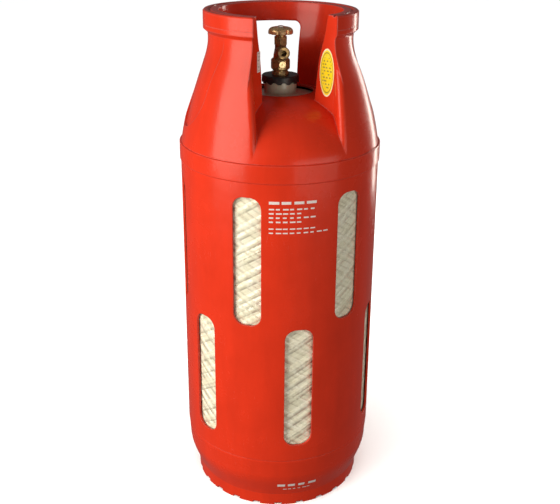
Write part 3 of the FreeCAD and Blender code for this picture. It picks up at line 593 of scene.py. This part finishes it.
def print_tree():
    """Rows of bars laid on a casing by casting each point in towards the axis."""
    graph, given = new_group(
        "Printed rows", "GeometryNodeTree",
        [("Surface", "NodeSocketObject", None), ("Rows", "NodeSocketInt", 6),
         ("Row Pitch", "NodeSocketFloat", 0.009), ("Words", "NodeSocketInt", 6),
         ("Word Pitch", "NodeSocketFloat", 0.012), ("Bar Height", "NodeSocketFloat", 0.004),
         ("Shortest", "NodeSocketFloat", 0.55), ("Left", "NodeSocketFloat", 0.0),
         ("Top", "NodeSocketFloat", 0.6), ("Radius", "NodeSocketFloat", 0.168),
         ("Lift", "NodeSocketFloat", 0.00012), ("Seed", "NodeSocketInt", 1),
         ("Material", "NodeSocketMaterial", None)],
        [("Geometry", "NodeSocketGeometry")],
    )
    drop = graph.math("MULTIPLY", given["Row Pitch"], -1.0)
    row_points = graph.add("GeometryNodeMeshLine", {
        "Count": given["Rows"], "Offset": graph.join(0.0, 0.0, drop),
    }).outputs[0]
    word_points = graph.add("GeometryNodeMeshLine", {
        "Count": given["Words"], "Offset": graph.join(given["Word Pitch"], 0.0, 0.0),
    }).outputs[0]
    block = graph.add("GeometryNodeInstanceOnPoints", {
        "Points": row_points, "Instance": word_points,
    }).outputs[0]
    block = graph.add("GeometryNodeRealizeInstances", {"Geometry": block}).outputs[0]
    x, _, z = graph.split(graph.add("GeometryNodeInputPosition").outputs[0])
    row = graph.math("ROUND", graph.math("DIVIDE", z, drop))
    full = graph.math("MULTIPLY", given["Word Pitch"], given["Words"])
    length = graph.add("FunctionNodeRandomValue", {"ID": row, "Seed": given["Seed"]}, data_type="FLOAT")
    shortest = next(socket for socket in length.inputs if socket.name == "Min" and socket.enabled)
    graph.feed(shortest, given["Shortest"])
    limit = graph.math("MULTIPLY", full, length.outputs["Value"])
    beyond = graph.math("GREATER_THAN", x, limit)
    kept = graph.add("GeometryNodeDeleteGeometry", {"Geometry": block, "Selection": beyond}).outputs[0]
    bar = graph.add("GeometryNodeMeshGrid", {
        "Size X": 1.0, "Size Y": 1.0, "Vertices X": 6, "Vertices Y": 4,
    }).outputs[0]
    bar = graph.add("GeometryNodeTransform", {
        "Geometry": bar, "Translation": (0.5, 0.0, 0.0), "Rotation": (math.pi / 2.0, 0.0, 0.0),
    }).outputs[0]
    wide = graph.add("FunctionNodeRandomValue", {"Seed": given["Seed"]}, data_type="FLOAT")
    share = graph.spread(wide.outputs["Value"], 0.0, 1.0, 0.5, 0.86)
    width = graph.math("MULTIPLY", share, given["Word Pitch"])
    bars = graph.add("GeometryNodeInstanceOnPoints", {
        "Points": kept, "Instance": bar, "Scale": graph.join(width, 1.0, given["Bar Height"]),
    }).outputs[0]
    flat = graph.add("GeometryNodeRealizeInstances", {"Geometry": bars}).outputs[0]
    across, _, up = graph.split(graph.add("GeometryNodeInputPosition").outputs[0])
    angle = graph.math("DIVIDE", graph.math("ADD", across, given["Left"]), given["Radius"])
    ahead = graph.math("MULTIPLY", graph.math("COSINE", angle), -1.0)
    out = graph.join(graph.math("SINE", angle), ahead, 0.0)
    level = graph.join(0.0, 0.0, graph.math("ADD", up, given["Top"]))
    far = graph.vector("ADD", graph.vector("MULTIPLY", out, (0.3, 0.3, 0.3)), level)
    target = graph.add("GeometryNodeObjectInfo", {"Object": given["Surface"]}, transform_space="RELATIVE")
    cast = graph.add("GeometryNodeRaycast", {
        "Target Geometry": target.outputs["Geometry"], "Source Position": far,
        "Ray Direction": graph.vector("MULTIPLY", out, (-1.0, -1.0, -1.0)), "Ray Length": 1.0,
    })
    lift = graph.vector("SCALE", out)
    graph.feed(lift.node.inputs["Scale"], given["Lift"])
    place = graph.vector("ADD", cast.outputs["Hit Position"], lift)
    laid = graph.add("GeometryNodeSetPosition", {"Geometry": flat, "Position": place}).outputs[0]
    return end_tree(graph, laid, given["Material"])


def grow(name, tree, body, slot, **inputs):
    """Run a geometry tree once and keep its result as a plain mesh on a body."""
    host = bpy.data.objects.new(name + "_host", bpy.data.meshes.new(name + "_host"))
    bpy.context.scene.collection.objects.link(host)
    modifier = host.modifiers.new("Shape", "NODES")
    modifier.node_group = tree
    sockets = {s.name: s.identifier for s in tree.interface.items_tree if s.in_out == "INPUT"}
    for label, value in inputs.items():
        modifier[sockets[label.replace("_", " ")]] = value
    bpy.context.view_layer.update()
    graph = bpy.context.evaluated_depsgraph_get()
    mesh = bpy.data.meshes.new_from_object(host.evaluated_get(graph), depsgraph=graph)
    bpy.data.objects.remove(host)
    mesh.name = name
    if not mesh.polygons:
        raise RuntimeError(name + " has no faces")
    piece = bpy.data.objects.new(name, mesh)
    bpy.context.scene.collection.objects.link(piece)
    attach(piece, body)
    return piece


# ---------------------------------------------------------------- settings


def colour_setting(name, text, value):
    """Colour property with a name, a description and a default."""
    return bpy.props.FloatVectorProperty(
        name=name, description=text, subtype="COLOR", size=4, min=0.0, max=1.0, default=value,
    )


def length_setting(name, text, value):
    """Length property in metres."""
    return bpy.props.FloatProperty(name=name, description=text, default=value, unit="LENGTH", precision=5)


class TankColours(bpy.types.PropertyGroup):
    """Colours of the tank's finishes."""

    casing: colour_setting("Casing", "Moulded casing", (0.74, 0.038, 0.011, 1.0))
    resin: colour_setting("Resin", "Wound shell between the tows", (0.95, 0.92, 0.72, 1.0))
    tow: colour_setting("Tow", "Darker lines between the tows", (0.74, 0.71, 0.52, 1.0))
    brass: colour_setting("Brass", "Valve body", (0.5, 0.33, 0.13, 1.0))
    patina: colour_setting("Patina", "Tarnish on the valve", (0.09, 0.065, 0.035, 1.0))
    wheel: colour_setting("Handwheel", "Bronze of the handwheel", (0.8, 0.52, 0.25, 1.0))
    nut: colour_setting("Neck nut", "Plastic of the neck nut", (0.018, 0.018, 0.018, 1.0))
    oval: colour_setting("Oval sticker", "Film of the oval sticker", (0.98, 0.72, 0.006, 1.0))
    strip: colour_setting("Strip sticker", "Film of the strip sticker", (0.86, 0.82, 0.8, 1.0))
    ink: colour_setting("Ink", "Print on the casing", (0.86, 0.76, 0.74, 1.0))


class TankSizes(bpy.types.PropertyGroup):
    """Sizes of the tank's finishing pieces."""

    edge: length_setting("Casing edge", "Radius that eases the casing's edges", 0.0016)
    collar_edge: length_setting("Collar edge", "Radius that eases the collar's edges", 0.003)
    tape_width: length_setting("Tape width", "Width of one wound tape", 0.012)
    tape_thickness: length_setting("Tape thickness", "Thickness of one wound tape", 0.0006)
    tape_stagger: length_setting("Tape stagger", "Height by which tapes of a layer differ", 0.00006)
    tape_count: bpy.props.IntProperty(name="Tapes", description="Tapes in one layer", default=34, min=6)
    tape_angle: bpy.props.FloatProperty(
        name="Tape angle", description="Angle of a tape from the level", subtype="ANGLE",
        default=math.radians(32.0),
    )
    bead: length_setting("Weld bead", "Radius of the weld bead", 0.0007)
    row_pitch: length_setting("Row pitch", "Distance between printed rows", 0.007)
    word_pitch: length_setting("Word pitch", "Distance between printed bars", 0.011)


def settings():
    """The scene's colours and sizes."""
    scene = bpy.context.scene
    return scene.tank_colours, scene.tank_sizes


# ---------------------------------------------------------------- operators


class TANK_OT_casings(bpy.types.Operator):
    """Finish the three moulded casings and lay the weld bead between them"""

    bl_idname = "tank.casings"
    bl_label = "Casings"

    def execute(self, context):
        colours, sizes = settings()
        plastic = moulded_plastic("Casing plastic", tuple(colours.casing), sizes.edge)
        dress("base_casing", plastic)
        dress("body_casing", plastic)
        dress("top_casing", moulded_plastic("Collar plastic", tuple(colours.casing), sizes.collar_edge))
        grow(
            "base_weld_bead", bead_tree(), "tank", "casing_red", Radius=SEAM_RADIUS,
            Height=FOOT_HIGH.z, Bead=sizes.bead, Lumps=sizes.bead * 0.5, Material=plastic,
        )
        return {"FINISHED"}


class TANK_OT_vessel(bpy.types.Operator):
    """Finish the wound vessel and its liner and lay the outer tapes"""

    bl_idname = "tank.vessel"
    bl_label = "Vessel"

    def execute(self, context):
        colours, sizes = settings()
        resin = wound_resin("Wound resin", tuple(colours.resin), tuple(colours.tow), sizes.tape_angle)
        dress("composite_vessel", resin)
        dress("liner", satin_plastic("Liner plastic", (0.62, 0.62, 0.56, 1.0), 0.45, 300.0))
        grow(
            "vessel_tapes", windings_tree(), "tank", "composite", Radius=SHELL_RADIUS,
            Low=FOOT_HIGH.z + TAPE_MARGIN, High=MIDDLE_HIGH.z - TAPE_MARGIN,
            Twist=1.0 / (SHELL_RADIUS * math.tan(sizes.tape_angle)), Tapes=sizes.tape_count,
            Width=sizes.tape_width, Thickness=sizes.tape_thickness, Stagger=sizes.tape_stagger,
            Material=resin,
        )
        return {"FINISHED"}


class TANK_OT_valve(bpy.types.Operator):
    """Finish the valve, its nuts and its inner parts"""

    bl_idname = "tank.valve"
    bl_label = "Valve"

    def execute(self, context):
        colours, _ = settings()
        brass = cast_metal("Tarnished brass", tuple(colours.brass), tuple(colours.patina), 1.0, 0.36, 0.0006)
        for node in ("valve_body", "gland_nut"):
            dress(node, brass)
        machined = turned_metal("Machined brass", (0.62, 0.45, 0.2, 1.0), 2, 0.22)
        for node in ("plug_carrier", "relief_poppet"):
            dress(node, machined)
        dress("relief_cap", turned_metal("Bright cap brass", (0.78, 0.62, 0.34, 1.0), 1, 0.2))
        dress("neck_insert", turned_metal("Insert metal", (0.62, 0.62, 0.6, 1.0), 2, 0.3))
        rubber = satin_plastic("Seal rubber", (0.02, 0.02, 0.02, 1.0), 0.6, 900.0)
        for node in ("valve_seal", "gland_seals", "relief_seal"):
            dress(node, rubber)
        dress("plug_seal", satin_plastic("Seal plastic", (0.8, 0.79, 0.74, 1.0), 0.4, 900.0))
        dress("neck_nut", satin_plastic("Neck nut plastic", tuple(colours.nut), 0.32, 500.0, 0.001))
        return {"FINISHED"}


class TANK_OT_handwheel(bpy.types.Operator):
    """Finish the handwheel and the steel parts that hold it"""

    bl_idname = "tank.handwheel"
    bl_label = "Handwheel"

    def execute(self, context):
        colours, _ = settings()
        bronze = cast_metal(
            "Handwheel bronze", tuple(colours.wheel), (0.03, 0.022, 0.014, 1.0), 0.7, 0.34, 0.001, 0.7,
        )
        dress("handwheel", bronze)
        steel = turned_metal("Plated steel", (0.5, 0.5, 0.48, 1.0), 2, 0.26)
        for node in ("handwheel_nut", "handwheel_washer", "spindle", "relief_spring"):
            dress(node, steel)
        return {"FINISHED"}


class TANK_OT_stickers(bpy.types.Operator):
    """Finish the two stickers on the collar's cut faces"""

    bl_idname = "tank.stickers"
    bl_label = "Stickers"

    def execute(self, context):
        colours, _ = settings()
        ink = (0.12, 0.1, 0.06, 1.0)
        oval = sticker_film("Oval film", tuple(colours.oval), ink, 1.0, OVAL_LOW, OVAL_HIGH, True)
        strip = sticker_film("Strip film", tuple(colours.strip), ink, -1.0, STRIP_LOW, STRIP_HIGH, False)
        dress("oval_sticker", oval)
        dress("strip_sticker", strip)
        return {"FINISHED"}


class TANK_OT_print(bpy.types.Operator):
    """Lay the plain printed bars on the middle and base casings"""

    bl_idname = "tank.print"
    bl_label = "Print"

    def execute(self, context):
        colours, sizes = settings()
        tree = print_tree()
        ink = printed_ink("Casing ink", tuple(colours.ink))
        body, base = NODES["body_casing"], NODES["base_casing"]
        front = MIDDLE_HIGH.z
        blocks = [
            ("print_heading", body, 1, 4, 1.8, 1.3, 1.0, PRINT_LEFT, front - 0.0600, PRINT_RADIUS),
            ("print_rows", body, 4, 7, 1.0, 0.7, 0.62, PRINT_LEFT, front - 0.0705, PRINT_RADIUS),
            ("print_maker", body, 2, 9, 1.0, 0.6, 0.35, PRINT_LEFT, front - 0.1030, PRINT_RADIUS),
            ("base_mark", base, 1, 4, 1.7, 1.7, 1.0, -0.0330, 0.0480, 0.160),
            ("base_note", base, 1, 6, 0.8, 0.5, 1.0, -0.0220, 0.0370, 0.156),
        ]
        for seed, block in enumerate(blocks, FIRST_PRINT_SEED):
            name, surface, rows, words, wide, tall, shortest, left, top, radius = block
            grow(
                name, tree, "tank", "casing_red", Surface=surface, Rows=rows,
                Row_Pitch=sizes.row_pitch, Words=words, Word_Pitch=sizes.word_pitch * wide,
                Bar_Height=sizes.row_pitch * 0.5 * tall, Shortest=shortest, Left=left, Top=top,
                Radius=radius, Lift=PRINT_LIFT, Seed=seed, Material=ink,
            )
        return {"FINISHED"}


class TANK_OT_stage(bpy.types.Operator):
    """Make the floor, the soft studio lights and the camera"""

    bl_idname = "tank.stage"
    bl_label = "Stage"

    def aim(self, scene, lamp, place, target):
        """Put a lamp in the scene, turned towards a point"""
        holder = bpy.data.objects.new(lamp.name, lamp)
        holder.location = place
        holder.rotation_euler = (target - place).to_track_quat("-Z", "Y").to_euler()
        scene.collection.objects.link(holder)
        return holder

    def execute(self, context):
        scene = context.scene
        scene.view_settings.view_transform = "Standard"
        bpy.ops.mesh.primitive_circle_add(vertices=96, radius=FLOOR_RADIUS, fill_type="NGON")
        floor = context.object
        floor.name = "studio_floor"
        floor.data.materials.append(stage_paper("Studio paper", (0.93, 0.93, 0.93, 1.0)))
        world = bpy.data.worlds.new("Studio air")
        world.use_nodes = True
        world.node_tree.nodes["Background"].inputs["Color"].default_value = (1.0, 1.0, 1.0, 1.0)
        world.node_tree.nodes["Background"].inputs["Strength"].default_value = AIR_STRENGTH
        scene.world = world
        floor.visible_diffuse = False
        floor.visible_glossy = False
        sun = bpy.data.lights.new("floor_sun", "SUN")
        sun.energy = SUN_STRENGTH
        sun.angle = SUN_SPREAD
        holder = self.aim(scene, sun, Vector((-0.4, -0.6, 2.0)), Vector((0.0, 0.0, 0.0)))
        lit = bpy.data.collections.new("floor_only")
        lit.objects.link(floor)
        holder.light_linking.receiver_collection = lit
        for name, place, width, height, power in SOFT_BOXES:
            lamp = bpy.data.lights.new(name, "AREA")
            lamp.shape = "RECTANGLE"
            lamp.size = width
            lamp.size_y = height
            lamp.energy = power
            lamp.color = BOX_COLOUR
            self.aim(scene, lamp, Vector(place), BOX_TARGET)
        lens = bpy.data.cameras.new("studio_camera")
        lens.sensor_width = SENSOR_WIDTH
        lens.lens = LENS_LENGTH
        lens.shift_x, lens.shift_y = LENS_SHIFT
        camera = bpy.data.objects.new("studio_camera", lens)
        heading = math.atan2(CAMERA_PLACE.x, -CAMERA_PLACE.y)
        turn = Matrix.Rotation(heading, 4, "Z")
        pitch = Matrix.Rotation(math.radians(90.0) - CAMERA_DIP, 4, "X")
        roll = Matrix.Rotation(CAMERA_ROLL, 4, "Z")
        camera.matrix_world = Matrix.Translation(CAMERA_PLACE) @ turn @ pitch @ roll
        scene.collection.objects.link(camera)
        scene.camera = camera
        return {"FINISHED"}


class TANK_PT_panel(bpy.types.Panel):
    """Steps that finish the tank, in order"""

    bl_label = "Gas Tank"
    bl_idname = "TANK_PT_panel"
    bl_space_type = "VIEW_3D"
    bl_region_type = "UI"
    bl_category = "Gas Tank"

    def draw(self, context):
        for step in STEPS:
            self.layout.operator(step.bl_idname)
        for group in settings():
            for label in group.bl_rna.properties.keys():
                if label not in ("rna_type", "name"):
                    self.layout.prop(group, label)


STEPS = (
    TANK_OT_casings, TANK_OT_vessel, TANK_OT_valve, TANK_OT_handwheel,
    TANK_OT_stickers, TANK_OT_print, TANK_OT_stage,
)
CLASSES = (TankColours, TankSizes) + STEPS + (TANK_PT_panel,)


def register():
    """Register the classes and attach the settings to the scene."""
    for item in CLASSES:
        bpy.utils.register_class(item)
    bpy.types.Scene.tank_colours = bpy.props.PointerProperty(type=TankColours)
    bpy.types.Scene.tank_sizes = bpy.props.PointerProperty(type=TankSizes)


def unregister():
    """Take the settings and the classes away again."""
    del bpy.types.Scene.tank_colours
    del bpy.types.Scene.tank_sizes
    for item in reversed(CLASSES):
        bpy.utils.unregister_class(item)


def main():
    """Run every step."""
    register()
    bpy.ops.tank.casings()
    bpy.ops.tank.vessel()
    bpy.ops.tank.valve()
    bpy.ops.tank.handwheel()
    bpy.ops.tank.stickers()
    bpy.ops.tank.print()
    bpy.ops.tank.stage()


if __name__ == "__main__":
    main()
